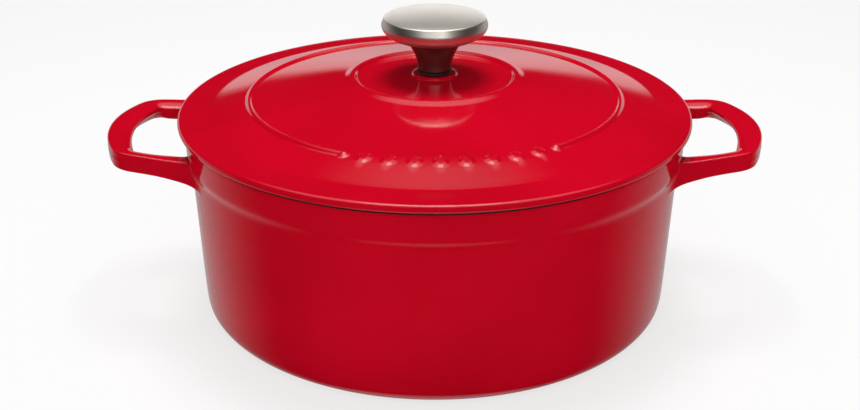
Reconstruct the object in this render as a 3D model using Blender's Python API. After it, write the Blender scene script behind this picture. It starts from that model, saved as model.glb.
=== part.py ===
"""Round cast iron dutch oven: a pot with two loop handles and a domed lid with a turned steel knob.

Frame: +Z up, the pot's foot on Z = 0 and its axis on Z, the handles out along +X and -X.
The lid, the knob and its fastening are turned on the same axis and lift off together along +Z.
Lengths are in metres, written as millimetres times MM.
"""
import math

import bmesh
import bpy
from mathutils import Matrix, Vector

MM = 0.001
SEAT_GAP = 0.3 * MM            # between pieces that touch

# Pot
POT_RADIUS = 134.9 * MM        # outside of the band, at the rim
POT_HEIGHT = 106.3 * MM        # foot to rim
POT_WALL = 4.2 * MM
POT_DRAFT = 0.040              # the wall widens by this much for each unit of height
POT_FLOOR = 5.0 * MM
FOOT_CORNER = 9.0 * MM         # radius outside, between foot and wall
FLOOR_CORNER = 13.0 * MM       # radius inside, between floor and wall
BAND_HEIGHT = 15.0 * MM        # the thicker band below the rim
BAND_STEP = 1.8 * MM           # how far the band stands out of the wall
BAND_BLEND = 4.5 * MM          # height of the soft step below the band
RIM_EDGE = 1.2 * MM            # rounding of the rim's two edges

# Loop handles
GRIP_REACH = 43.0 * MM         # from the pot's band to the outside of the loop
GRIP_HALF_SPAN = 45.4 * MM     # centre to the outside of the loop's side bars, at the far corners
GRIP_SPLAY = math.radians(11)  # the side bars spread towards the wall by this angle
GRIP_DROP = 10.5 * MM          # from the rim down to the loop's top, at the wall
GRIP_RISE = 4.0 * MM           # how much higher the loop is at its far end
GRIP_THICK = 10.0 * MM
GRIP_SIDE_WIDTH = 11.0 * MM
GRIP_END_WIDTH = 13.5 * MM
GRIP_CORNER = 17.0 * MM        # radius outside, in plan
GRIP_END_RADIUS = 75.0 * MM    # of the end bar's centre line, which bows outwards
GRIP_EDGE = 2.0 * MM           # chamfer of the bar's outer long edges
GRIP_INNER_SLOPE = 5.5 * MM    # the bar thins towards the opening over this width
GRIP_INNER_DROP = 2.2 * MM     # how much its top drops there
GRIP_INNER_RISE = 0.8 * MM     # how much its underside rises there
GRIP_END_RISE = 3.4 * MM       # and how much more the end bar's underside rises
GRIP_FILLET = 3.5 * MM         # rounding all round each bar where it meets the wall
GRIP_ROOT_LENGTH = 20.0 * MM   # stretch over which a bar deepens downwards to the wall
GRIP_ROOT_DROP = 4.0 * MM      # how much deeper it is at the wall
GRIP_SINK = 2.0 * MM           # how far its end is sunk into the wall that it is cast with

# Lid
LID_OVERHANG = 3.1 * MM        # lid beyond the pot's band
LID_EDGE = 4.2 * MM            # thickness of the brim at its outer edge
LID_WALL = 4.0 * MM
BRIM_WIDTH = 16.0 * MM
BRIM_RISE = 0.5 * MM
OUTER_SLOPE = 0.25             # dome between the brim and the outer ring
INNER_SLOPE = 0.186            # dome between the outer ring and the crest
OUTER_RING_INSET = 22.0 * MM   # from the brim's inner edge in to the outer ring
RING_HALF_WIDTH = 1.6 * MM
RING_HEIGHT = 1.3 * MM
RING_GAP = math.radians(62)    # the outer ring is open at the front over this angle
CREST_RADIUS = 44.0 * MM       # inner ring, around the sunken centre
CREST_WIDTH = 4.5 * MM         # its sloping outer side
CREST_RISE = 1.7 * MM
CENTRE_DEPTH = 2.1 * MM        # from the crest down to the sunken centre
CENTRE_RISE = 1.7 * MM         # how far the centre rises from its edge to the boss
BOSS_RADIUS = 11.5 * MM
BOSS_HEIGHT = 1.2 * MM
LIP_DEPTH = 4.0 * MM           # locating lip below the brim
LIP_WIDTH = 5.0 * MM
LIP_CLEARANCE = 1.0 * MM       # between the lip and the inside of the rim
LID_TURN = math.radians(5)     # the lid sits turned by this angle

# Knob and fastening
KNOB_HEIGHT = 31.0 * MM        # foot to crown
KNOB_RADIUS = 28.4 * MM
KNOB_STEM = 8.9 * MM           # radius at the foot
KNOB_NECK = 16.0 * MM          # radius where the head meets the stem
KNOB_HEAD_DEPTH = 14.4 * MM    # crown down to the neck
KNOB_WIDEST = 6.4 * MM         # crown down to the head's widest circle
KNOB_CROWN = 2.6 * MM          # rise of the head's top face
SCREW_RADIUS = 2.9 * MM
SCREW_CLEARANCE = 0.5 * MM     # radial, in the lid, the gasket and the washer
THREAD_GAP = 0.3 * MM          # radial, in the knob
SCREW_BITE = 10.0 * MM         # length of screw inside the knob
HOLE_SPARE = 2.0 * MM          # thread hole beyond the screw's tip
SCREW_HEAD_RADIUS = 5.8 * MM
SCREW_HEAD_HEIGHT = 3.4 * MM
RECESS_WIDTH = 1.5 * MM
RECESS_DEPTH = 1.8 * MM
RECESS_LENGTH = 6.4 * MM
WASHER_RADIUS = 9.0 * MM
WASHER_THICK = 1.5 * MM
GASKET_RADIUS = 9.4 * MM
GASKET_THICK = 1.5 * MM

# Facets: both counts divide by four, so the box is the true size
LARGE_STEPS = 72
SMALL_STEPS = 36
ARC_STEPS = 4

# Worked out from the values above
LID_RADIUS = POT_RADIUS + LID_OVERHANG
BRIM_INNER = LID_RADIUS - BRIM_WIDTH
OUTER_RING = BRIM_INNER - OUTER_RING_INSET
LID_SEAT = POT_HEIGHT + SEAT_GAP
EDGE_TOP = LID_SEAT + LID_EDGE
HOLE_RADIUS = SCREW_RADIUS + SCREW_CLEARANCE


def clear_scene():
    for thing in list(bpy.data.objects):
        bpy.data.objects.remove(thing, do_unlink=True)


def material(name, colour, roughness, metallic):
    mat = bpy.data.materials.new(name)
    mat.use_nodes = True
    shader = mat.node_tree.nodes["Principled BSDF"]
    shader.inputs["Base Color"].default_value = (*colour, 1.0)
    shader.inputs["Roughness"].default_value = roughness
    shader.inputs["Metallic"].default_value = metallic
    return mat


def finish(name, bm, mat):
    """Turn a bmesh into a named object with smooth shading and its own material."""
    bmesh.ops.remove_doubles(bm, verts=bm.verts, dist=0.001 * MM)
    bmesh.ops.recalc_face_normals(bm, faces=bm.faces)
    mesh = bpy.data.meshes.new(name)
    bm.to_mesh(mesh)
    bm.free()
    mesh.shade_smooth()
    mesh.set_sharp_from_angle(angle=math.radians(35))
    mesh.materials.append(mat)
    thing = bpy.data.objects.new(name, mesh)
    bpy.context.scene.collection.objects.link(thing)
    return thing


def arc(centre_r, centre_z, radius, start, end, steps=ARC_STEPS):
    """Points (r, z) along an arc, angles in degrees from the +r direction."""
    points = []
    for i in range(steps + 1):
        angle = math.radians(start + (end - start) * i / steps)
        points.append((centre_r + radius * math.cos(angle), centre_z + radius * math.sin(angle)))
    return points


def spun(profile, steps, closed):
    """Spin a profile of (r, z) points about Z; a closed profile is a ring that misses the axis."""
    bm = bmesh.new()
    verts = [bm.verts.new((r, 0.0, z)) for r, z in profile]
    edges = [bm.edges.new(pair) for pair in zip(verts, verts[1:])]
    if closed:
        edges.append(bm.edges.new((verts[-1], verts[0])))
    bmesh.ops.spin(bm, geom=verts + edges, cent=(0, 0, 0), axis=(0, 0, 1),
                   angle=math.tau, steps=steps, use_merge=True)
    bmesh.ops.remove_doubles(bm, verts=bm.verts, dist=0.001 * MM)
    return bm


def apply_boolean(thing, other, operation):
    """Cut or join with another object, apply the result and remove that other object."""
    modifier = thing.modifiers.new(operation.title(), 'BOOLEAN')
    modifier.operation = operation
    modifier.solver = 'EXACT'
    modifier.object = other
    bpy.context.view_layer.update()
    evaluated = thing.evaluated_get(bpy.context.evaluated_depsgraph_get())
    result = bpy.data.meshes.new_from_object(evaluated)
    thing.modifiers.clear()
    thing.data = result
    bpy.data.objects.remove(other, do_unlink=True)


def wall_radius(z):
    """Outside of the pot's wall, without the band."""
    return POT_RADIUS - BAND_STEP - POT_DRAFT * (POT_HEIGHT - z)


def pot_profile():
    band_z = POT_HEIGHT - BAND_HEIGHT
    blend_z = band_z - BAND_BLEND
    outer = [(0.0, 0.0)]
    outer += arc(wall_radius(FOOT_CORNER) - FOOT_CORNER, FOOT_CORNER, FOOT_CORNER, -90, 0, 6)
    for i in range(5):
        share = i / 4
        ease = share * share * (3 - 2 * share)
        z = blend_z + BAND_BLEND * share
        outer.append((wall_radius(z) + BAND_STEP * ease, z))
    outer += arc(POT_RADIUS - RIM_EDGE, POT_HEIGHT - RIM_EDGE, RIM_EDGE, 0, 90, 3)
    inside = wall_radius(POT_HEIGHT) - POT_WALL
    outer += arc(inside + RIM_EDGE, POT_HEIGHT - RIM_EDGE, RIM_EDGE, 90, 180, 3)
    corner_z = POT_FLOOR + FLOOR_CORNER
    corner_r = wall_radius(corner_z) - POT_WALL - FLOOR_CORNER
    outer += arc(corner_r, corner_z, FLOOR_CORNER, 0, -90, 5)
    outer.append((0.0, POT_FLOOR))
    return outer


def grip_path():
    """Stations along one loop, from the wall round to its far corner and the middle of the end bar.

    Each station is (centre, direction, width, distance from the wall along the bar, lift).
    """
    end_x = POT_RADIUS + GRIP_REACH - GRIP_END_WIDTH / 2
    bend = GRIP_CORNER - GRIP_SIDE_WIDTH / 2
    corner_y = GRIP_HALF_SPAN - GRIP_CORNER
    end_turn = math.asin(corner_y / (GRIP_END_RADIUS - bend))
    corner_x = end_x - GRIP_END_RADIUS + (GRIP_END_RADIUS - bend) * math.cos(end_turn)
    along = Vector((math.cos(GRIP_SPLAY), -math.sin(GRIP_SPLAY)))
    straight_end = Vector((corner_x + bend * math.sin(GRIP_SPLAY), corner_y + bend * math.cos(GRIP_SPLAY)))
    wall = POT_RADIUS - BAND_STEP / 2
    ahead = straight_end.dot(along)
    length = ahead - math.sqrt(ahead ** 2 - straight_end.length_squared + wall ** 2)
    distances = [-GRIP_SINK, 0.0]
    distances += [GRIP_FILLET * share for share in (0.15, 0.45, 1.0)]
    distances += [GRIP_ROOT_LENGTH * share for share in (0.4, 0.7, 1.0)]
    path = [(straight_end + along * (distance - length), along, GRIP_SIDE_WIDTH, distance)
            for distance in (*distances, length)]
    last_turn = math.pi / 2 - end_turn
    for i in range(1, 6):
        turn = GRIP_SPLAY + (last_turn - GRIP_SPLAY) * i / 5
        centre = Vector((corner_x + bend * math.sin(turn), corner_y + bend * math.cos(turn)))
        width = GRIP_SIDE_WIDTH + (GRIP_END_WIDTH - GRIP_SIDE_WIDTH) * i / 5
        path.append((centre, Vector((math.cos(turn), -math.sin(turn))), width, length))
    for share in (0.64, 0.32, 0.08):
        turn = end_turn * share
        reach = end_x - GRIP_END_RADIUS * (1 - math.cos(turn))
        centre = Vector((reach, GRIP_END_RADIUS * math.sin(turn)))
        path.append((centre, Vector((math.sin(turn), -math.cos(turn))), GRIP_END_WIDTH, length))
    foot_x = path[1][0].x
    return [(*station, GRIP_RISE * max(0.0, (station[0].x - foot_x) / (end_x - foot_x))) for station in path]


def grip_section(bm, station, mirror_y):
    """One chamfered section across the bar, thin at the opening, flared where it nears the wall."""
    centre, along, width, distance, lift = station
    near = min(GRIP_FILLET, max(0.0, GRIP_FILLET - distance))
    flare = GRIP_FILLET - math.sqrt(GRIP_FILLET ** 2 - near ** 2)
    root = min(1.0, max(0.0, 1.0 - distance / GRIP_ROOT_LENGTH))
    across = Vector((-along.y, along.x))
    half = width / 2 + flare * 0.8
    top = POT_HEIGHT - GRIP_DROP + lift + flare * 0.8
    bottom = POT_HEIGHT - GRIP_DROP + lift - GRIP_THICK - flare * 0.8 - GRIP_ROOT_DROP * root ** 2
    edge = GRIP_EDGE
    end_share = (width - GRIP_SIDE_WIDTH) / (GRIP_END_WIDTH - GRIP_SIDE_WIDTH)
    slope = GRIP_INNER_SLOPE + (edge - GRIP_INNER_SLOPE) * root
    drop = GRIP_INNER_DROP + (edge - GRIP_INNER_DROP) * root
    rise = GRIP_INNER_RISE + (edge - GRIP_INNER_RISE) * root + GRIP_END_RISE * end_share
    corners = [(-half, bottom + rise), (-half + slope, bottom), (half - edge, bottom), (half, bottom + edge),
               (half, top - edge), (half - edge, top), (-half + slope, top), (-half, top - drop)]
    verts = []
    for offset, z in corners:
        place = centre + across * offset
        if distance <= 0.0:
            place = on_wall(place, z, distance)
        verts.append(bm.verts.new((place.x, -place.y if mirror_y else place.y, z)))
    return verts


def on_wall(place, z, depth):
    """Move a point along X until it lies in the wall, this far outside its surface."""
    outside = POT_RADIUS if z > POT_HEIGHT - BAND_HEIGHT else wall_radius(z)
    radius = outside + depth
    return Vector((math.sqrt(radius ** 2 - place.y ** 2), place.y))


def grip(side):
    """One loop handle as a closed body, side +1 or -1 along X."""
    bm = bmesh.new()
    stations = grip_path()
    sections = [grip_section(bm, station, False) for station in stations]
    sections += [grip_section(bm, station, True) for station in reversed(stations)]
    for near, far in zip(sections, sections[1:]):
        count = len(near)
        for i in range(count):
            j = (i + 1) % count
            bm.faces.new((near[i], near[j], far[j], far[i]))
    bm.faces.new(sections[0])
    bm.faces.new(list(reversed(sections[-1])))
    if side < 0:
        bmesh.ops.transform(bm, matrix=Matrix.Scale(-1, 4, (1, 0, 0)), verts=bm.verts)
    return bm


def build_pot(mat):
    pot = finish("pot", spun(pot_profile(), LARGE_STEPS, closed=False), mat)
    for side in (1, -1):
        apply_boolean(pot, finish("grip", grip(side), mat), 'UNION')
    return pot


def dome_z(r):
    """Top of the lid between the brim and the crest's foot, without the rings."""
    brim_z = EDGE_TOP + BRIM_RISE
    if r >= OUTER_RING:
        return brim_z + OUTER_SLOPE * (BRIM_INNER - r)
    return brim_z + OUTER_SLOPE * OUTER_RING_INSET + INNER_SLOPE * (OUTER_RING - r)


def crest_z():
    return dome_z(CREST_RADIUS + CREST_WIDTH) + CREST_RISE


def boss_z():
    return crest_z() - CENTRE_DEPTH + CENTRE_RISE + BOSS_HEIGHT


def lid_profile():
    """Closed outline of the lid's section, from the hole outwards over the top and back below."""
    edge = LID_EDGE / 2 - 0.3 * MM
    crest_foot = CREST_RADIUS + CREST_WIDTH
    centre_z = crest_z() - CENTRE_DEPTH
    centre_edge = CREST_RADIUS - 2.4 * MM
    top = [(HOLE_RADIUS, boss_z()), (BOSS_RADIUS - 0.8 * MM, boss_z()), (BOSS_RADIUS, boss_z() - BOSS_HEIGHT)]
    top.append((centre_edge, centre_z))
    top.append((CREST_RADIUS - 0.5 * MM, crest_z() - 0.3 * MM))
    top.append((CREST_RADIUS + 0.4 * MM, crest_z()))
    top.append((crest_foot, dome_z(crest_foot)))
    for offset, height in ((-1.0, 0.0), (-0.45, 0.85), (0.0, 1.0), (0.45, 0.85), (1.0, 0.0)):
        r = OUTER_RING + RING_HALF_WIDTH * offset
        top.append((r, dome_z(r) + RING_HEIGHT * height))
    top.append((BRIM_INNER, dome_z(BRIM_INNER)))
    top += arc(LID_RADIUS - edge, EDGE_TOP - edge, edge, 90, 0, 3)
    top += arc(LID_RADIUS - edge, LID_SEAT + edge, edge, 0, -90, 3)
    lip_outer = wall_radius(POT_HEIGHT) - POT_WALL - LIP_CLEARANCE
    lip_inner = lip_outer - LIP_WIDTH
    lip_z = LID_SEAT - LIP_DEPTH
    bevel = 0.8 * MM
    below = [(lip_outer, LID_SEAT), (lip_outer, lip_z + bevel), (lip_outer - bevel, lip_z)]
    below += [(lip_inner + bevel, lip_z), (lip_inner, lip_z + bevel)]
    below.append((lip_inner - 1.5 * MM, dome_z(BRIM_INNER) - LID_WALL))
    below.append((OUTER_RING, dome_z(OUTER_RING) - LID_WALL))
    below.append((crest_foot, dome_z(crest_foot) - LID_WALL))
    below.append((WASHER_RADIUS + 2.0 * MM, pad_z()))
    below.append((HOLE_RADIUS, pad_z()))
    return top + below


def pad_z():
    """Underside of the lid around the screw hole."""
    return boss_z() - BOSS_HEIGHT - LID_WALL


def open_ring(bm):
    """Lower the outer ring onto the dome across its gap at the front."""
    reach = RING_HALF_WIDTH * 0.7
    for vert in bm.verts:
        r = math.hypot(vert.co.x, vert.co.y)
        on_ring = abs(r - OUTER_RING) < reach and vert.co.z > dome_z(r) + RING_HEIGHT / 4
        front = math.atan2(vert.co.x, -vert.co.y)
        if on_ring and abs(front) < RING_GAP / 2:
            vert.co.z = dome_z(r)


def build_lid(mat):
    bm = spun(lid_profile(), LARGE_STEPS, closed=True)
    open_ring(bm)
    bmesh.ops.rotate(bm, verts=bm.verts, matrix=Matrix.Rotation(LID_TURN, 3, 'Z'))
    return finish("lid", bm, mat)


def gasket_z():
    return boss_z() + SEAT_GAP


def knob_z():
    return gasket_z() + GASKET_THICK + SEAT_GAP


def knob_profile():
    """From the crown out and down to the foot, then up the threaded hole to the axis."""
    crown = knob_z() + KNOB_HEIGHT
    neck = crown - KNOB_HEAD_DEPTH
    widest = crown - KNOB_WIDEST
    outer = []
    for share in (0.0, 0.4, 0.7, 0.86):
        outer.append((KNOB_RADIUS * share, crown - KNOB_CROWN * share ** 2))
    outer.append((KNOB_RADIUS - 1.6 * MM, crown - KNOB_CROWN - 0.7 * MM))
    outer.append((KNOB_RADIUS - 0.4 * MM, widest + 1.6 * MM))
    for i in range(6):
        angle = math.radians(90 * i / 5)
        r = KNOB_NECK + (KNOB_RADIUS - KNOB_NECK) * math.cos(angle)
        outer.append((r, widest - (widest - neck) * math.sin(angle)))
    for share in (0.82, 0.64, 0.46, 0.28, 0.0):
        outer.append((KNOB_STEM + (KNOB_NECK - KNOB_STEM) * share ** 2, knob_z() + (neck - knob_z()) * share))
    hole = SCREW_RADIUS + THREAD_GAP
    hole_top = knob_z() + SCREW_BITE + HOLE_SPARE
    return outer + [(hole, knob_z()), (hole, hole_top), (0.0, hole_top)]


def build_knob(mat):
    return finish("knob", spun(knob_profile(), SMALL_STEPS, closed=False), mat)


def plain_ring(name, inner, outer, low, high, mat):
    bevel = 0.25 * MM
    profile = [(inner, high), (outer - bevel, high), (outer, high - bevel), (outer, low + bevel),
               (outer - bevel, low), (inner, low)]
    return finish(name, spun(profile, SMALL_STEPS, closed=True), mat)


def build_gasket(mat):
    return plain_ring("knob_gasket", HOLE_RADIUS, GASKET_RADIUS, gasket_z(), gasket_z() + GASKET_THICK, mat)


def build_washer(mat):
    high = pad_z() - SEAT_GAP
    return plain_ring("screw_washer", HOLE_RADIUS, WASHER_RADIUS, high - WASHER_THICK, high, mat)


def screw_head_z():
    """Bearing face of the screw's head, below the washer."""
    return pad_z() - SEAT_GAP - WASHER_THICK - SEAT_GAP


def build_screw(mat):
    tip = knob_z() + SCREW_BITE
    seat = screw_head_z()
    low = seat - SCREW_HEAD_HEIGHT
    chamfer = 0.6 * MM
    profile = [(0.0, tip), (SCREW_RADIUS - chamfer, tip), (SCREW_RADIUS, tip - chamfer), (SCREW_RADIUS, seat)]
    profile += [(SCREW_HEAD_RADIUS - 0.3 * MM, seat), (SCREW_HEAD_RADIUS, seat - 0.4 * MM)]
    profile += [(SCREW_HEAD_RADIUS - 0.7 * MM, low + 1.0 * MM), (SCREW_HEAD_RADIUS - 2.2 * MM, low)]
    profile.append((0.0, low))
    screw = finish("knob_screw", spun(profile, SMALL_STEPS, closed=False), mat)
    for turn in (0, 90):
        bm = bmesh.new()
        bmesh.ops.create_cube(bm, size=1.0)
        bmesh.ops.scale(bm, vec=(RECESS_LENGTH, RECESS_WIDTH, 2 * RECESS_DEPTH), verts=bm.verts)
        bmesh.ops.rotate(bm, verts=bm.verts, matrix=Matrix.Rotation(math.radians(turn), 3, 'Z'))
        bmesh.ops.translate(bm, vec=(0, 0, low), verts=bm.verts)
        apply_boolean(screw, finish("recess", bm, mat), 'DIFFERENCE')
    return screw


def main():
    clear_scene()
    build_pot(material("pot_enamel", (0.42, 0.006, 0.02), 0.12, 0.0))
    build_lid(material("lid_enamel", (0.58, 0.004, 0.02), 0.12, 0.0))
    build_knob(material("satin_steel", (0.62, 0.60, 0.56), 0.32, 1.0))
    build_gasket(material("gasket_rubber", (0.03, 0.03, 0.03), 0.7, 0.0))
    build_washer(material("washer_steel", (0.60, 0.60, 0.60), 0.35, 1.0))
    build_screw(material("screw_steel", (0.56, 0.56, 0.55), 0.30, 1.0))


main()
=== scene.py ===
# %% [markdown]
# # An enamelled cast iron dutch oven
#
# A dutch oven is two iron castings and one bolted-on knob. The pot has its loop handles cast in,
# the lid rests on the rim by its weight, and a thin coat of glass, the enamel, covers both.
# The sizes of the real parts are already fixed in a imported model. This script loads that model as
# a frame, builds a fine mesh for each part in the same place, and gives each one its finish.

# %% Load the frame
import math

import bmesh
import bpy
from mathutils import Matrix, Vector


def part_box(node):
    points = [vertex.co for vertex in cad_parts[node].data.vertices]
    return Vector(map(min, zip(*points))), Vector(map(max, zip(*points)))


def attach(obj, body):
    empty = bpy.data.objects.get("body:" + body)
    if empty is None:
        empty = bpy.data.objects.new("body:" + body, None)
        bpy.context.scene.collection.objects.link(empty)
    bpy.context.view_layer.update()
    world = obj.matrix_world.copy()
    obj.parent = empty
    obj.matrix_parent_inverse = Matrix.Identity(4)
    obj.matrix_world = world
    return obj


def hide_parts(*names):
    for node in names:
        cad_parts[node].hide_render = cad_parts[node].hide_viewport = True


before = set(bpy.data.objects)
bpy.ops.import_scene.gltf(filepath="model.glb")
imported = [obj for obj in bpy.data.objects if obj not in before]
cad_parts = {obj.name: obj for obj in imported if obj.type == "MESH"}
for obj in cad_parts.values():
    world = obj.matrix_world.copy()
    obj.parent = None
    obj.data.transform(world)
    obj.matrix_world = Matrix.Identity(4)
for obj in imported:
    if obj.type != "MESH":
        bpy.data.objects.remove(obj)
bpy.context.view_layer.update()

MM = 0.001

# %% [markdown]
# ## Sizes
#
# Every part is placed from its box in the frame, so that the fine mesh and the frame agree.
# Only the sizes that a box can't tell, such as a ring, a wall or a rounding, are written here.

# %% Measure the frame
pot_low, pot_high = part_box("pot")
lid_low, lid_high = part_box("lid")
knob_low, knob_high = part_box("knob")
gasket_low, gasket_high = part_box("knob_gasket")
washer_low, washer_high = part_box("screw_washer")
screw_low, screw_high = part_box("knob_screw")
pot_radius = pot_high.y
pot_height = pot_high.z
lid_radius = lid_high.y
seat_gap = 0.3 * MM
lid_seat = pot_height + seat_gap
pot_wall = 4.2 * MM
band_step = 1.8 * MM              # how far the band at the rim stands out
print(f"pot {2 * pot_radius / MM:.1f} mm across and {pot_height / MM:.1f} mm high")
print(f"lid {2 * lid_radius / MM:.1f} mm across")

# %% [markdown]
# ## Drawing and turning a section
#
# Lids, knobs, washers and screws are turned shapes: half of a section, spun about the upright axis.
# The section is drawn as a chain of corners. Bevelling a corner's vertex turns it into an arc,
# just as a fillet does on a drawing, so a section needs only its corners and their roundings.

# %% Draw a section
def draw_section(corners, closed):
    """A wire in the XZ plane through corners (radius, height, rounding, steps of its arc)."""
    bm = bmesh.new()
    verts = [bm.verts.new((r, 0.0, z)) for r, z, rounding, steps in corners]
    for pair in zip(verts, verts[1:]):
        bm.edges.new(pair)
    if closed:
        bm.edges.new((verts[-1], verts[0]))
    for vert, (r, z, rounding, steps) in zip(verts, corners):
        if rounding:
            round_corner(bm, vert, rounding, steps)
    return bm


def round_corner(bm, vert, rounding, steps):
    """Bevel one corner of a wire into an arc of radius rounding."""
    ends = [edge.other_vert(vert).co - vert.co for edge in vert.link_edges]
    opening = ends[0].angle(ends[1])
    reach = rounding / math.tan(opening / 2)
    bmesh.ops.bevel(bm, geom=[vert], offset=reach, offset_type='OFFSET', segments=steps,
                    profile=0.5, affect='VERTICES', material=-1)


# %% Split long stretches of a section
def split_section(bm, longest, low=0.0, high=1.0):
    """Cut the wire's edges until none between these two radii is longer than longest."""
    for edge in list(bm.edges):
        middle = (edge.verts[0].co.x + edge.verts[1].co.x) / 2
        cuts = math.ceil(edge.calc_length() / longest) - 1
        if low <= middle <= high and cuts > 0:
            bmesh.ops.subdivide_edges(bm, edges=[edge], cuts=cuts)


# %% Spin a section into a closed body
def spin_section(bm, turns):
    """Spin a wire about Z. Each turn is (angle in degrees, steps), and together they make 360."""
    wire = list(bm.verts) + list(bm.edges)
    for angle, steps in turns:
        made = bmesh.ops.spin(bm, geom=wire, cent=(0, 0, 0), axis=(0, 0, 1),
                              angle=math.radians(angle), steps=steps, use_merge=angle == 360)
        wire = made["geom_last"]
    bmesh.ops.remove_doubles(bm, verts=bm.verts, dist=0.002 * MM)
    bmesh.ops.recalc_face_normals(bm, faces=bm.faces)


# %% Turn a bmesh into a piece of the object
def make_piece(name, bm, body, node, sharp=None):
    """A smooth shaded object that rides on a body and stands for a node of the frame."""
    mesh = bpy.data.meshes.new(name)
    bm.to_mesh(mesh)
    bm.free()
    mesh.shade_smooth()
    if sharp:
        mesh.set_sharp_from_angle(angle=math.radians(sharp))
    piece = bpy.data.objects.new(name, mesh)
    bpy.context.scene.collection.objects.link(piece)
    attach(piece, body)
    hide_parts(node)
    print(f"{name}: {len(mesh.vertices)} vertices, {len(mesh.polygons)} faces")
    return piece


# %% [markdown]
# ## The lid
#
# The lid is a shallow dome with a flat brim, a low ring round a sunken centre, and a boss that the
# knob stands on. Below, a lip keeps it from sliding off the rim. All of this is one turned section.
# A second ring, a thin bead, is open at the front, so it is added afterwards as a relief.

# %% Heights and radii of the lid
brim_inner = lid_radius - 16.0 * MM
bead_radius = brim_inner - 22.0 * MM
crest_radius = 44.0 * MM
crest_foot = crest_radius + 4.5 * MM
lid_wall = 4.0 * MM
edge_top = lid_seat + 4.2 * MM
brim_z = edge_top + 0.5 * MM
bead_z = brim_z + 0.25 * (brim_inner - bead_radius)
crest_foot_z = bead_z + 0.186 * (bead_radius - crest_foot)
crest_z = crest_foot_z + 1.7 * MM
centre_z = crest_z - 2.1 * MM
boss_foot_z = centre_z + 1.7 * MM
boss_z = gasket_low.z - seat_gap
pad_z = washer_high.z + seat_gap
hole_radius = 3.4 * MM
print(f"bead at {bead_radius / MM:.1f} mm, crest at {crest_radius / MM:.1f} mm and {crest_z / MM:.1f} mm up")

# %% Draw the lid's section
lip_clearance = 1.0 * MM
lip_outer = pot_radius - band_step - pot_wall - lip_clearance
lip_inner = lip_outer - 5.0 * MM
boss_radius = 11.5 * MM
lid_corners = [
    (hole_radius, boss_z, 0.3 * MM, 2),
    (boss_radius, boss_z, 0.7 * MM, 4),
    (boss_radius + 0.7 * MM, boss_foot_z - 0.1 * MM, 0.8 * MM, 4),
    (crest_radius - 2.6 * MM, centre_z, 2.2 * MM, 6),
    (crest_radius - 1.0 * MM, crest_z, 0.7 * MM, 5),
    (crest_radius + 1.0 * MM, crest_z, 3.0 * MM, 6),
    (crest_foot, crest_foot_z, 8.0 * MM, 6),
    (bead_radius, bead_z, 160 * MM, 10),
    (brim_inner, brim_z, 14 * MM, 6),
    (lid_radius, edge_top, 1.9 * MM, 8),
    (lid_radius, lid_seat, 1.7 * MM, 6),
    (lip_outer, lid_seat, 0.6 * MM, 2),
    (lip_outer, lid_low.z, 1.2 * MM, 4),
    (lip_inner, lid_low.z, 1.2 * MM, 4),
    (lip_inner - 1.5 * MM, brim_z - lid_wall, 3.0 * MM, 4),
    (bead_radius, bead_z - lid_wall, 160 * MM, 4),
    (crest_foot, crest_foot_z - lid_wall, 60 * MM, 4),
    (washer_high.x + 2 * MM, pad_z, 3.0 * MM, 3),
    (hole_radius, pad_z, 0.3 * MM, 2),
]
lid_mesh = draw_section(lid_corners, closed=True)
split_section(lid_mesh, 0.5 * MM, bead_radius - 7.5 * MM, bead_radius + 7.5 * MM)
split_section(lid_mesh, 5.0 * MM)
print("lid section", len(lid_mesh.verts), "points")

# %% [markdown]
# The bead of the outer ring is over 1 mm high and ends in two small knobs at the front. Between
# them stands a row of plain raised ovals. Both are a height that depends only on the place on
# the lid, so the front of the lid is spun in fine steps and its top is lifted by that height.

# %% Spin the lid, finer where the relief is
relief_turn = 5.0                 # the middle of the relief, in degrees from the front towards +X
fine_half = 36.0
start = Matrix.Rotation(math.radians(relief_turn - 90.0 - fine_half), 3, 'Z')
bmesh.ops.rotate(lid_mesh, verts=lid_mesh.verts, matrix=start, cent=(0, 0, 0))
spin_section(lid_mesh, [(2 * fine_half, 288), (360 - 2 * fine_half, 240)])
print("lid", len(lid_mesh.faces), "faces")


# %% The height of the relief at a place on the lid
def bell(share):
    """1 in the middle, 0 from share 1 outwards, with a soft foot."""
    return max(0.0, 1.0 - share * share) ** 2


def bead_height(across, into_gap):
    """The open ring: across is the distance from its line, into_gap how far past its end."""
    bead = 1.35 * MM * bell(math.hypot(across, max(0.0, into_gap)) / (2.1 * MM))
    knob_end = 1.5 * MM * bell(math.hypot(across, into_gap) / (3.4 * MM))
    return max(bead, knob_end)


def oval_height(across, along, pitch):
    """The row of ovals: along is the distance round the lid from the middle of the row."""
    number = min(3.5, max(-3.5, round(along / pitch - 0.5) + 0.5))
    share = math.hypot(across / (5.2 * MM), (along - number * pitch) / (4.4 * MM))
    rise = min(1.0, max(0.0, (1.0 - share) / 0.6))
    return 0.75 * MM * rise * rise * (3 - 2 * rise)


# %% Lift the relief
gap_half = math.radians(31.0)
pitch = math.radians(7.1) * bead_radius
for vert in lid_mesh.verts:
    across = math.hypot(vert.co.x, vert.co.y) - bead_radius
    if abs(across) < 7.0 * MM and vert.co.z > bead_z - lid_wall / 2:
        turn = math.atan2(vert.co.x, -vert.co.y) - math.radians(relief_turn)
        turn = (turn + math.pi) % math.tau - math.pi
        into_gap = (gap_half - abs(turn)) * bead_radius
        height = bead_height(across, into_gap)
        if into_gap > 0:
            height = max(height, oval_height(across, turn * bead_radius, pitch))
        vert.co.z += height
lid = make_piece("enamelled_lid", lid_mesh, "lid", "lid")

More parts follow.
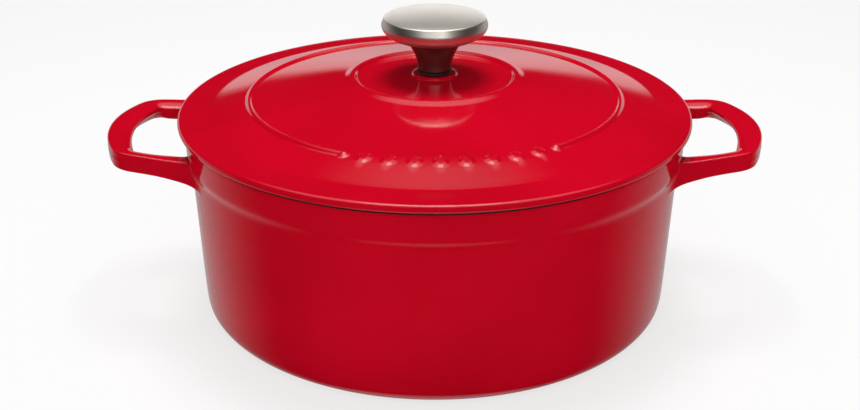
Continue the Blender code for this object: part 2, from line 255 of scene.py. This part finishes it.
# %% [markdown]
# ## The pot
#
# The pot is one casting, so its wall has to flow into the handles. A subdivision surface gives that
# flow: a coarse cage is modelled, and the modifier rounds it. Pot and handles are the same left and
# right, front and back, so only a quarter is modelled, and mirrored twice.
#
# The quarter is a spun section. Three columns by six rows of its faces are the root of a handle's
# bar. They are extruded, station by station, along the bar and round the loop's corner.

# %% Draw the pot's section
pot_floor = 5.0 * MM
draft = 0.040                     # the wall leans out by this much for each mm of height


def wall_radius(z):
    """Outside of the wall, without the band at the rim."""
    return pot_radius - band_step - draft * (pot_height - z)


root_rows = [80.2, 83.6, 86.6, 89.1, 91.3, 94.2, 97.6]      # heights in mm, and so below
band_share = {89.1: 0.45, 91.3: 0.97, 94.2: 1.0, 97.6: 1.0, 101.4: 1.0}
pot_corners = [(0.0, 0.0, 0, 0), (60 * MM, 0.0, 0, 0), (wall_radius(0.0), 0.0, 9.0 * MM, 4)]
for row in [28.0, 48.0, 62.0, 71.0, 76.8, *root_rows, 101.4]:
    radius = wall_radius(row * MM) + band_step * band_share.get(row, 0.0)
    pot_corners.append((radius, row * MM, 0, 0))
rim_inner = wall_radius(pot_height) - pot_wall
floor_corner = wall_radius(18 * MM) - pot_wall
pot_corners += [
    (pot_radius, pot_height, 2.4 * MM, 4),
    (rim_inner, pot_height, 1.2 * MM, 3),
    (wall_radius(98 * MM) - pot_wall, 98 * MM, 0, 0),
    (wall_radius(60 * MM) - pot_wall, 60 * MM, 0, 0),
    (floor_corner, pot_floor, 13 * MM, 4),
    (60 * MM, pot_floor, 0, 0),
    (0.0, pot_floor, 0, 0),
]
pot_mesh = draw_section(pot_corners, closed=False)
print("pot section", len(pot_mesh.verts), "points")

# %% Spin a quarter of the pot, with three columns for the root of a bar
root_start = 17.1
root_end = 23.9
wire = list(pot_mesh.verts) + list(pot_mesh.edges)
for angle, steps in ((root_start, 7), (root_end - root_start, 3), (90 - root_end, 22)):
    made = bmesh.ops.spin(pot_mesh, geom=wire, cent=(0, 0, 0), axis=(0, 0, 1),
                          angle=math.radians(angle), steps=steps)
    wire = made["geom_last"]
bmesh.ops.remove_doubles(pot_mesh, verts=pot_mesh.verts, dist=0.002 * MM)
bmesh.ops.recalc_face_normals(pot_mesh, faces=pot_mesh.faces)
print("quarter of the pot", len(pot_mesh.faces), "faces")

# %% [markdown]
# Each vertex of the root gets a column and a row number, kept in a layer of the mesh. Extruding
# copies the numbers to the new vertices, so every station of the bar can be laid out from them.

# %% Number the root's vertices
column = pot_mesh.verts.layers.int.new("column")
level = pot_mesh.verts.layers.int.new("level")


def degrees_round(point):
    return math.degrees(math.atan2(point.y, point.x))


def in_root(face):
    centre = face.calc_center_median()
    outside = math.hypot(centre.x, centre.y) > wall_radius(centre.z) - 1.0 * MM
    return (outside and root_start < degrees_round(centre) < root_end
            and root_rows[0] * MM < centre.z < root_rows[-1] * MM)


root = [face for face in pot_mesh.faces if in_root(face)]
for vert in {vert for face in root for vert in face.verts}:
    vert[column] = round((degrees_round(vert.co) - root_start) / (root_end - root_start) * 3)
    vert[level] = min(range(7), key=lambda i: abs(root_rows[i] * MM - vert.co.z))
print("root of the bar", len(root), "faces")

# %% Lay out a station of the bar
COLUMN_SHARES = (-1.0, -0.60, 0.60, 1.0)
LEVEL_SHARES = (0.0, 0.19, 0.36, 0.50, 0.64, 0.81, 1.0)
MIDDLE_LEVEL = 3
RIDGE = 0.3 * MM                 # the parting line of the mould, half way up
root_length = 20.0 * MM          # a bar changes its section over this length from the wall
inner_slope = 5.5 * MM           # beyond it, the bar thins towards the opening over this width
inner_drop = 2.2 * MM
inner_rise = 0.8 * MM
end_rise = 3.4 * MM
end_undercut = 2.0 * MM          # the end bar's inner side leans back below by this much
corner_cut = 1.8 * MM            # the opening's corners are squarer than the loop's by this much


def place_station(verts, centre, along, width, top, bottom, wall_distance=None, end_share=0.0, cut=0.0):
    """Lay the numbered vertices out as a section across the bar at centre, thinner at the opening."""
    sideways = Vector((-along.y, along.x))
    taper = 1.0 if wall_distance is None else min(1.0, wall_distance / root_length)
    for vert in verts:
        half = width / 2 - (0 if vert[level] == MIDDLE_LEVEL else RIDGE)
        offset = half * COLUMN_SHARES[vert[column]]
        low, high = bottom, top
        if vert[column] == 0:
            low += (inner_rise + end_rise * end_share) * taper
            high -= inner_drop * taper
            offset += corner_cut * cut + end_undercut * end_share * max(0.0, 1 - vert[level] / MIDDLE_LEVEL)
        elif vert[column] == 1:
            offset += (inner_slope - half * 0.4) * taper
        place = centre + sideways * offset
        vert.co = (place.x, place.y, low + (high - low) * LEVEL_SHARES[vert[level]])
        if wall_distance is not None:
            on_wall = math.sqrt(wall_radius(vert.co.z) ** 2 - vert.co.y ** 2) + wall_distance
            straight = min(1.0, wall_distance / (12 * MM))
            vert.co.x = vert.co.x * straight + on_wall * (1 - straight)


# %% Measure the loop's centre line
bar_width = 11.0 * MM
end_width = 13.5 * MM
bar_thick = 10.0 * MM
grip_top = pot_height - 10.5 * MM          # at the wall
grip_rise = 4.0 * MM                       # how much higher the loop is at its far end
corner_bend = 11.5 * MM                    # radii of the centre line
end_bend = 75.0 * MM
splay = math.radians(11)                   # the bars spread towards the wall
corner_y = 28.4 * MM
end_x = pot_high.x - end_width / 2
end_turn = math.asin(corner_y / (end_bend - corner_bend))
corner_x = end_x - end_bend + (end_bend - corner_bend) * math.cos(end_turn)
along = Vector((math.cos(splay), -math.sin(splay)))
straight_end = Vector((corner_x + corner_bend * math.sin(splay), corner_y + corner_bend * math.cos(splay)))
ahead = straight_end.dot(along)
wall_reach = pot_radius - band_step / 2
straight_length = ahead - math.sqrt(ahead ** 2 - straight_end.length_squared + wall_reach ** 2)
bar_foot = straight_end - along * straight_length
print(f"each bar is {straight_length / MM:.1f} mm long, {bar_foot.y / MM:.1f} mm from the middle at the wall")


# %% Extrude the bar along the side, round the corner and half way across the end
def extrude(cap):
    """Extrude the cap's faces, drop the old ones, and return the new cap and its vertices."""
    made = bmesh.ops.extrude_face_region(pot_mesh, geom=cap)["geom"]
    faces = [item for item in made if isinstance(item, bmesh.types.BMFace)]
    bmesh.ops.delete(pot_mesh, geom=[face for face in cap if face.is_valid], context='FACES')
    return faces, {vert for face in faces for vert in face.verts}


def lifted_top(centre):
    """Top of the bar at this place: the loop rises evenly towards its far end."""
    return grip_top + grip_rise * (centre.x - bar_foot.x) / (end_x - bar_foot.x)


cap = root
for distance in (2.0 * MM, 4.5 * MM, 9.0 * MM, 15.0 * MM, 22.0 * MM):
    cap, verts = extrude(cap)
    flare = 1.6 * MM * max(0.0, 1 - distance / (4.5 * MM)) ** 2
    deeper = 4.0 * MM * max(0.0, 1 - distance / root_length) ** 2
    centre = bar_foot + along * distance
    top = lifted_top(centre)
    place_station(verts, centre, along, bar_width + 2 * flare,
                  top + flare, top - bar_thick - deeper - flare, distance)
for step in range(5):
    cap, verts = extrude(cap)
    turn = splay + (math.pi / 2 - end_turn - splay) * step / 4
    outwards = Vector((math.sin(turn), math.cos(turn)))
    centre = Vector((corner_x, corner_y)) + outwards * corner_bend
    top = lifted_top(centre)
    place_station(verts, centre, Vector((outwards.y, -outwards.x)),
                  bar_width + (end_width - bar_width) * step / 4, top, top - bar_thick,
                  end_share=step / 4, cut=(0.0, 0.5, 1.0, 1.0, 0.8)[step])
for share in (0.66, 0.33, 0.0):
    cap, verts = extrude(cap)
    turn = end_turn * share
    centre = Vector((end_x - end_bend * (1 - math.cos(turn)), end_bend * math.sin(turn)))
    top = lifted_top(centre)
    place_station(verts, centre, Vector((math.sin(turn), -math.cos(turn))), end_width,
                  top, top - bar_thick, end_share=1.0, cut=0.8 * share ** 2)
bmesh.ops.delete(pot_mesh, geom=cap, context='FACES')
print("quarter with half a loop", len(pot_mesh.faces), "faces")

# %% Mirror the quarter and give each face its enamel
for axis in ('Y', 'X'):
    whole = list(pot_mesh.verts) + list(pot_mesh.edges) + list(pot_mesh.faces)
    bmesh.ops.mirror(pot_mesh, geom=whole, matrix=Matrix.Identity(4), merge_dist=0.01 * MM, axis=axis)
bmesh.ops.remove_doubles(pot_mesh, verts=pot_mesh.verts, dist=0.002 * MM)
bmesh.ops.recalc_face_normals(pot_mesh, faces=pot_mesh.faces)
OUTSIDE, INSIDE, BARE_RIM_AND_GAP_SHADE = 0, 1, 2
for face in pot_mesh.faces:
    centre = face.calc_center_median()
    reach = math.hypot(centre.x, centre.y)
    inwards = face.normal.x * centre.x + face.normal.y * centre.y < 0
    # Dark enamel on the rim's top is the rim's own colour; the strip 1.9 mm down the outside is painted shade
    # for the gap under the lid's edge.
    if centre.z > pot_height - (0.9 if reach < pot_radius - 2.5 * MM else 1.9) * MM:
        face.material_index = BARE_RIM_AND_GAP_SHADE
    elif inwards and reach < rim_inner + 0.5 * MM or face.normal.z > 0.3 and centre.z < 20 * MM:
        face.material_index = INSIDE
print("whole cage", len(pot_mesh.faces), "faces, open edges",
      sum(1 for edge in pot_mesh.edges if len(edge.link_faces) != 2))
pot = make_piece("enamelled_pot", pot_mesh, "pot", "pot")
rounding = pot.modifiers.new("rounding", 'SUBSURF')
rounding.levels = 2
rounding.render_levels = 2

# %% [markdown]
# ## The knob and what holds it
#
# The knob is turned from stainless steel: a wide head to pull on, and a slender stem that flares up
# into it. A thin dark ring keeps the steel off the enamel. Below the lid, a washer and a pan head
# screw hold the knob, and both show when the lid is lifted.

# %% Turn the knob
knob_radius = knob_high.y
knob_crown = 2.6 * MM             # how much lower the top is at its edge
crown_points = 12
head_neck = 16.0 * MM
stem_foot = 8.9 * MM
neck_z = knob_high.z - 14.4 * MM
widest_z = knob_high.z - 6.4 * MM
thread_radius = 3.2 * MM
thread_top = knob_low.z + 12 * MM
knob_corners = []
for i in range(crown_points - 1):
    share = i / crown_points
    knob_corners.append((knob_radius * share, knob_high.z - knob_crown * share ** 2, 0, 0))
knob_corners.append((knob_radius - 1.3 * MM, knob_high.z - knob_crown, 0.9 * MM, 5))
knob_corners.append((knob_radius - 0.1 * MM, widest_z + 0.6 * MM, 2.2 * MM, 4))
for i in range(15):
    turn = math.radians(6 * i)
    knob_corners.append((head_neck + (knob_radius - head_neck) * math.cos(turn),
                         widest_z - (widest_z - neck_z) * math.sin(turn), 0, 0))
for i in range(17):
    share = 1 - i / 17
    knob_corners.append((stem_foot + (head_neck - stem_foot) * share ** 2,
                         knob_low.z + (neck_z - knob_low.z) * share, 0, 0))
knob_corners += [
    (stem_foot, knob_low.z, 0.35 * MM, 3),
    (thread_radius, knob_low.z, 0.2 * MM, 2),
    (thread_radius, thread_top, 0, 0),
    (0.0, thread_top, 0, 0),
]
knob_mesh = draw_section(knob_corners, closed=False)
spin_section(knob_mesh, [(360, 144)])
knob = make_piece("turned_knob", knob_mesh, "lid", "knob", sharp=50)


# %% Make the gasket and the washer
def flat_ring(name, node, low, high, rounding):
    """A ring with the node's outer radius and the screw's hole, rounded at its edges."""
    outer = high.y
    corners = [(hole_radius, high.z, rounding, 2), (outer, high.z, rounding, 4),
               (outer, low.z, rounding, 4), (hole_radius, low.z, rounding, 2)]
    bm = draw_section(corners, closed=True)
    spin_section(bm, [(360, 96)])
    return make_piece(name, bm, "lid", node, sharp=50)


gasket = flat_ring("knob_seat_ring", "knob_gasket", gasket_low, gasket_high, 0.5 * MM)
washer = flat_ring("plain_washer", "screw_washer", washer_low, washer_high, 0.3 * MM)

# %% Turn the screw
shank = 2.9 * MM
head_radius = 5.8 * MM
head_z = washer_low.z - seat_gap
screw_corners = [
    (0.0, screw_high.z, 0, 0),
    (shank, screw_high.z, 0.6 * MM, 3),
    (shank, head_z, 0, 0),
    (head_radius, head_z, 0.3 * MM, 2),
    (head_radius - 0.1 * MM, screw_low.z + 1.9 * MM, 1.2 * MM, 4),
    (head_radius - 1.9 * MM, screw_low.z, 2.6 * MM, 4),
    (0.0, screw_low.z, 0, 0),
]
screw_mesh = draw_section(screw_corners, closed=False)
spin_section(screw_mesh, [(360, 72)])
screw = make_piece("pan_head_screw", screw_mesh, "lid", "knob_screw", sharp=40)

# %% Cut the cross recess
recess_size = (6.4 * MM, 1.4 * MM, 3.6 * MM)
for turn in (0, 90):
    bm = bmesh.new()
    bmesh.ops.create_cube(bm, size=1.0)
    bmesh.ops.scale(bm, vec=recess_size, verts=bm.verts)
    bmesh.ops.rotate(bm, verts=bm.verts, matrix=Matrix.Rotation(math.radians(turn), 3, 'Z'))
    bmesh.ops.translate(bm, vec=(0, 0, screw_low.z), verts=bm.verts)
    mesh = bpy.data.meshes.new("recess")
    bm.to_mesh(mesh)
    bm.free()
    cutter = bpy.data.objects.new("recess", mesh)
    bpy.context.scene.collection.objects.link(cutter)
    cut = screw.modifiers.new("recess", 'BOOLEAN')
    cut.operation = 'DIFFERENCE'
    cut.object = cutter
    bpy.context.view_layer.update()
    cut_mesh = bpy.data.meshes.new_from_object(screw.evaluated_get(bpy.context.evaluated_depsgraph_get()))
    screw.modifiers.clear()
    screw.data = cut_mesh
    bpy.data.objects.remove(cutter)
screw.data.shade_smooth()
screw.data.set_sharp_from_angle(angle=math.radians(40))
print("screw", len(screw.data.polygons), "faces after cutting")

# %% [markdown]
# ## Finishes
#
# Every finish is worked out by nodes from the place on the piece, so nothing has to be unwrapped.
# What several finishes share is a node group. The enamel group varies the colour a little, as glass
# of uneven depth does, and gives the surface the faint waviness of a fired coat.

# %% Small helpers for node trees
def new_group(name, inputs, outputs):
    """A shader node group with named sockets: each is (name, kind of socket)."""
    tree = bpy.data.node_groups.new(name, 'ShaderNodeTree')
    for socket_name, kind in inputs:
        tree.interface.new_socket(socket_name, in_out='INPUT', socket_type=kind)
    for socket_name, kind in outputs:
        tree.interface.new_socket(socket_name, in_out='OUTPUT', socket_type=kind)
    return tree, tree.nodes.new('NodeGroupInput'), tree.nodes.new('NodeGroupOutput')


def feed(tree, socket, value):
    """Link a socket to another node's output, or set its value."""
    if isinstance(value, bpy.types.NodeSocket):
        tree.links.new(value, socket)
    else:
        socket.default_value = value


def add_node(tree, kind, settings=None, **values):
    """A node with its settings, and its sockets' values or links by name."""
    node = tree.nodes.new(kind)
    for key, value in (settings or {}).items():
        setattr(node, key, value)
    for key, value in values.items():
        feed(tree, node.inputs[key.replace("_", " ")], value)
    return node


def calculate(tree, operation, *values):
    """The output of a Math node that works on these values or sockets."""
    node = add_node(tree, 'ShaderNodeMath', {"operation": operation})
    for socket, value in zip(node.inputs, values):
        feed(tree, socket, value)
    return node.outputs[0]


def mix_colours(tree, factor, first, second):
    """The output of a Mix node between two colours, each a value or a socket."""
    node = add_node(tree, 'ShaderNodeMix', {"data_type": 'RGBA'})
    for number, value in ((0, factor), (6, first), (7, second)):
        feed(tree, node.inputs[number], value)
    return node.outputs[2]


def new_material(name):
    """A material with its shader, and the Object coordinates that patterns read."""
    mat = bpy.data.materials.new(name)
    mat.use_nodes = True
    tree = mat.node_tree
    return mat, tree, tree.nodes["Principled BSDF"], tree.nodes.new('ShaderNodeTexCoord')


def new_finish(name, group, **values):
    """A material whose colour, roughness and normal come from a node group."""
    mat, tree, shader, place = new_material(name)
    effect = add_node(tree, 'ShaderNodeGroup', {"node_tree": group}, Place=place.outputs["Object"], **values)
    for output, socket in (("Colour", "Base Color"), ("Roughness", "Roughness"), ("Normal", "Normal")):
        tree.links.new(effect.outputs[output], shader.inputs[socket])
    return mat, shader


# %% The enamel group
COLOUR, VALUE, VECTOR = 'NodeSocketColor', 'NodeSocketFloat', 'NodeSocketVector'
enamel_group, given, result = new_group(
    "fired enamel",
    [("Place", VECTOR), ("Colour", COLOUR), ("Deep Colour", COLOUR), ("Gloss", VALUE),
     ("Wave Height", VALUE)],
    [("Colour", COLOUR), ("Roughness", VALUE), ("Normal", VECTOR)])
depth = add_node(enamel_group, 'ShaderNodeTexNoise', Vector=given.outputs["Place"], Scale=14.0, Detail=3.0)
spread = add_node(enamel_group, 'ShaderNodeMapRange', Value=depth.outputs["Fac"],
                  From_Min=0.35, From_Max=0.68)
mixed = mix_colours(enamel_group, spread.outputs["Result"],
                    given.outputs["Colour"], given.outputs["Deep Colour"])
haze = add_node(enamel_group, 'ShaderNodeTexNoise', Vector=given.outputs["Place"], Scale=60.0, Detail=4.0)
varied = calculate(enamel_group, 'MULTIPLY_ADD', haze.outputs["Fac"], 0.05, given.outputs["Gloss"])
wave = add_node(enamel_group, 'ShaderNodeTexNoise', Vector=given.outputs["Place"], Scale=120.0, Detail=2.0)
bump = add_node(enamel_group, 'ShaderNodeBump', Height=wave.outputs["Fac"], Strength=1.0,
                Distance=given.outputs["Wave Height"])
feed(enamel_group, result.inputs["Colour"], mixed)
feed(enamel_group, result.inputs["Roughness"], varied)
feed(enamel_group, result.inputs["Normal"], bump.outputs["Normal"])


# %% Enamel materials
def enamel(name, colour, deep_colour, gloss, wave_height):
    """Glossy fired enamel over iron."""
    mat, shader = new_finish(name, enamel_group, Colour=(*colour, 1), Deep_Colour=(*deep_colour, 1),
                             Gloss=gloss, Wave_Height=wave_height)
    return mat


red = enamel("red enamel", (0.60, 0.0015, 0.016), (0.52, 0.001, 0.012), 0.05, 0.02 * MM)
cream = enamel("cream enamel", (0.72, 0.64, 0.50), (0.66, 0.57, 0.43), 0.10, 0.02 * MM)
dark_rim = enamel("dark rim enamel", (0.030, 0.008, 0.009), (0.045, 0.014, 0.014), 0.35, 0.05 * MM)


# %% [markdown]
# Turned and pressed steel keep fine rings from the tool. The metal group reads the distance from the
# axis and the height, so the rings run round the knob's top and round its stem alike. They roughen
# the steel and tilt its surface a little, which spreads a highlight across the rings.

# %% The turned metal group
metal_group, given, result = new_group(
    "turned metal",
    [("Place", VECTOR), ("Colour", COLOUR), ("Worn Colour", COLOUR), ("Gloss", VALUE),
     ("Ring Scale", VALUE), ("Ring Height", VALUE)],
    [("Colour", COLOUR), ("Roughness", VALUE), ("Normal", VECTOR)])
axes = add_node(metal_group, 'ShaderNodeSeparateXYZ', Vector=given.outputs["Place"])
flat = add_node(metal_group, 'ShaderNodeCombineXYZ', X=axes.outputs["X"], Y=axes.outputs["Y"])
reach = add_node(metal_group, 'ShaderNodeVectorMath', {"operation": 'LENGTH'}, Vector=flat.outputs["Vector"])
across = add_node(metal_group, 'ShaderNodeCombineXYZ', X=reach.outputs["Value"], Y=axes.outputs["Z"])
rings = add_node(metal_group, 'ShaderNodeTexNoise', {"noise_dimensions": '2D'},
                 Vector=across.outputs["Vector"], Scale=given.outputs["Ring Scale"], Detail=3.0)
patches = add_node(metal_group, 'ShaderNodeTexNoise', Vector=given.outputs["Place"], Scale=90.0, Detail=4.0)
worn = mix_colours(metal_group, patches.outputs["Fac"], given.outputs["Colour"], given.outputs["Worn Colour"])
uneven = calculate(metal_group, 'MULTIPLY_ADD', rings.outputs["Fac"], 0.16, given.outputs["Gloss"])
bump = add_node(metal_group, 'ShaderNodeBump', Height=rings.outputs["Fac"], Strength=1.0,
                Distance=given.outputs["Ring Height"])
feed(metal_group, result.inputs["Colour"], worn)
feed(metal_group, result.inputs["Roughness"], uneven)
feed(metal_group, result.inputs["Normal"], bump.outputs["Normal"])


# %% Metal materials
def turned_metal(name, colour, worn_colour, gloss, ring_scale, ring_height):
    """Bare steel with the rings that turning or pressing leaves."""
    mat, shader = new_finish(name, metal_group, Colour=(*colour, 1), Worn_Colour=(*worn_colour, 1),
                             Gloss=gloss, Ring_Scale=ring_scale, Ring_Height=ring_height)
    shader.inputs["Metallic"].default_value = 1.0
    return mat


steel = turned_metal("satin turned steel", (0.68, 0.64, 0.58), (0.61, 0.57, 0.51), 0.32, 2400, 0.012 * MM)
# The stem is the same steel as the head. Its much darker copy of that steel is painted shade and a painted
# dark reflection, not a duller finish.
painted_shade_stem_steel = turned_metal("stem steel darkened as painted shade", (0.24, 0.20, 0.18), (0.18, 0.14, 0.13), 0.30, 2400, 0.012 * MM)
plain_steel = turned_metal("pressed steel", (0.52, 0.51, 0.50), (0.42, 0.41, 0.40), 0.26, 900, 0.01 * MM)

# %% [markdown]
# The seat ring under the knob is black moulded rubber: nearly matt, a little dusty, with a fine grain.

# %% The rubber material
rubber, tree, shader, place = new_material("dark seat ring")
grain = add_node(tree, 'ShaderNodeTexNoise', Vector=place.outputs["Object"], Scale=1500.0, Detail=2.0)
dust = add_node(tree, 'ShaderNodeTexNoise', Vector=place.outputs["Object"], Scale=150.0, Detail=3.0)
tone = mix_colours(tree, dust.outputs["Fac"], (0.012, 0.012, 0.012, 1), (0.035, 0.032, 0.030, 1))
tree.links.new(tone, shader.inputs["Base Color"])
rough = add_node(tree, 'ShaderNodeMapRange', Value=dust.outputs["Fac"], To_Min=0.45, To_Max=0.75)
tree.links.new(rough.outputs["Result"], shader.inputs["Roughness"])
bump = add_node(tree, 'ShaderNodeBump', Height=grain.outputs["Fac"], Distance=0.02 * MM)
tree.links.new(bump.outputs["Normal"], shader.inputs["Normal"])

# %% Give the pieces their finish
finishes = {pot: (red, cream, dark_rim), lid: (red, cream), knob: (steel, painted_shade_stem_steel),
            gasket: (rubber,), washer: (plain_steel,), screw: (plain_steel,)}
for piece, mats in finishes.items():
    for mat in mats:
        piece.data.materials.append(mat)
for face in lid.data.polygons:
    reach = math.hypot(face.center.x, face.center.y)
    face.material_index = 1 if face.normal.z < 0 and reach < lid_radius - 3.0 * MM else 0
# Faces below the neck take the darker stem steel, which paints shade onto the stem.
for face in knob.data.polygons:
    face.material_index = 1 if face.center.z < neck_z else 0
for piece in (pot, lid, knob):
    print(piece.name, "faces with a second or third finish",
          sum(1 for face in piece.data.polygons if face.material_index))

# %% [markdown]
# ## The studio
#
# The object stands on a pale floor between large soft boxes. The boxes given an `only` light just
# the bare steel of the knob, washer and screw, which needs more light from low down than enamel does.

# %% The floor
bm = bmesh.new()
bmesh.ops.create_grid(bm, x_segments=1, y_segments=1, size=6.0)
bmesh.ops.translate(bm, vec=(0, 0, -0.3 * MM), verts=bm.verts)
floor_mesh = bpy.data.meshes.new("studio_floor")
bm.to_mesh(floor_mesh)
bm.free()
floor = bpy.data.objects.new("studio_floor", floor_mesh)
bpy.context.scene.collection.objects.link(floor)
floor_mat, tree, shader, place = new_material("pale floor")
shader.inputs["Base Color"].default_value = (0.85, 0.85, 0.85, 1)
shader.inputs["Roughness"].default_value = 0.9
white = add_node(tree, 'ShaderNodeEmission', Color=(1, 1, 1, 1), Strength=1.0)
path = add_node(tree, 'ShaderNodeLightPath')
washed_out = calculate(tree, 'MULTIPLY', path.outputs["Is Camera Ray"], 0.72)
floor_mix = add_node(tree, 'ShaderNodeMixShader', Fac=washed_out)
tree.links.new(shader.outputs[0], floor_mix.inputs[1])
tree.links.new(white.outputs[0], floor_mix.inputs[2])
tree.links.new(floor_mix.outputs[0], tree.nodes["Material Output"].inputs["Surface"])
floor.data.materials.append(floor_mat)
floor.visible_glossy = False


# %% Soft boxes
def soft_box(name, azimuth, elevation, distance, width, height, power, only=None):
    """An area light looking at the lid from this direction, azimuth 0 behind the object.

    The main lights aren't mirrored in the enamel. One that lights only some pieces is mirrored in them.
    """
    data = bpy.data.lights.new(name, 'AREA')
    data.shape = 'RECTANGLE'
    data.size = width
    data.size_y = height
    data.energy = power
    light = bpy.data.objects.new(name, data)
    bpy.context.scene.collection.objects.link(light)
    turn, rise = math.radians(azimuth), math.radians(elevation)
    away = Vector((math.sin(turn) * math.cos(rise), math.cos(turn) * math.cos(rise), math.sin(rise)))
    light.location = Vector((0, 0, pot_height)) + away * distance
    light.rotation_euler = away.to_track_quat('Z', 'Y').to_euler()
    light.visible_glossy = only is not None
    light.visible_camera = False
    if only:
        lit = bpy.data.collections.new(name + " lights")
        for piece in only:
            lit.objects.link(piece)
        light.light_linking.receiver_collection = lit
    return light


soft_box("overhead box", 0, 82, 1.2, 0.5, 0.5, 11.0)
soft_box("front fill", 180, 35, 1.6, 1.6, 1.2, 8.0)
soft_box("knob box behind", 0, 16, 1.0, 1.2, 0.40, 2.2, only=[knob, screw, washer])
soft_box("knob box in front", 180, 24, 1.0, 1.1, 0.85, 3.2, only=[knob, screw, washer])
soft_box("knob strip", 164, 16, 1.0, 0.07, 0.9, 0.9, only=[knob])

# %% [markdown]
# Glossy enamel is a mirror for the room, so the room is painted for it: a white board low down behind
# the object, a bright ceiling that fades in above, darkness between, and a pale table below.
# Light Path keeps this for glossy rays only. Other rays meet an even white, a soft light of its own.

# %% The room round the object
world = bpy.data.worlds.new("studio")
bpy.context.scene.world = world
world.use_nodes = True
tree = world.node_tree
background = tree.nodes["Background"]
background.inputs["Color"].default_value = (1, 1, 1, 1)
path = add_node(tree, 'ShaderNodeLightPath')
place = add_node(tree, 'ShaderNodeTexCoord')
axes = add_node(tree, 'ShaderNodeSeparateXYZ', Vector=place.outputs["Generated"])
SMOOTH = {"interpolation_type": 'SMOOTHSTEP'}
low = add_node(tree, 'ShaderNodeMapRange', SMOOTH, Value=axes.outputs["Z"], From_Min=0.19, From_Max=0.11)
behind = add_node(tree, 'ShaderNodeMapRange', SMOOTH, Value=axes.outputs["Y"], From_Min=-0.15, From_Max=0.70)
strip = add_node(tree, 'ShaderNodeMapRange', SMOOTH, Value=axes.outputs["Z"],
                 From_Min=-0.10, From_Max=0.05, To_Min=0.50, To_Max=0.75)
board = calculate(tree, 'MULTIPLY', low.outputs["Result"], behind.outputs["Result"])
white_board = calculate(tree, 'MULTIPLY', board, strip.outputs["Result"])
glow = add_node(tree, 'ShaderNodeMapRange', SMOOTH, Value=axes.outputs["Z"],
                From_Min=0.68, From_Max=0.90, To_Min=0.005, To_Max=1.5)
lamp = add_node(tree, 'ShaderNodeMapRange', SMOOTH, Value=axes.outputs["Z"],
                From_Min=0.93, From_Max=0.98, To_Min=0.0, To_Max=5.0)
table = add_node(tree, 'ShaderNodeMapRange', SMOOTH, Value=axes.outputs["Z"],
                 From_Min=-0.88, From_Max=-0.99, To_Min=0.0, To_Max=0.7)
mirrored = white_board
for part in (glow, lamp, table):
    mirrored = calculate(tree, 'ADD', mirrored, part.outputs["Result"])
even = add_node(tree, 'ShaderNodeMapRange', Value=path.outputs["Is Camera Ray"], To_Min=0.40, To_Max=1.0)
strength = add_node(tree, 'ShaderNodeMix', {"data_type": 'FLOAT'}, Factor=path.outputs["Is Glossy Ray"],
                    A=even.outputs["Result"], B=mirrored)
tree.links.new(strength.outputs[0], background.inputs["Strength"])

# %% The camera
camera_back = 4.7164 * lid_radius
camera_up = 2.4480 * lid_radius
camera_tilt = 66.19               # in degrees from straight down
camera_data = bpy.data.cameras.new("camera")
camera_data.lens = 52.84
camera_data.sensor_width = 36.0
camera = bpy.data.objects.new("camera", camera_data)
bpy.context.scene.collection.objects.link(camera)
camera.location = (-2.5 * MM, -camera_back, camera_up)
camera.rotation_euler = (math.radians(camera_tilt), 0, 0)
bpy.context.scene.camera = camera
bpy.context.scene.view_settings.view_transform = 'Standard'
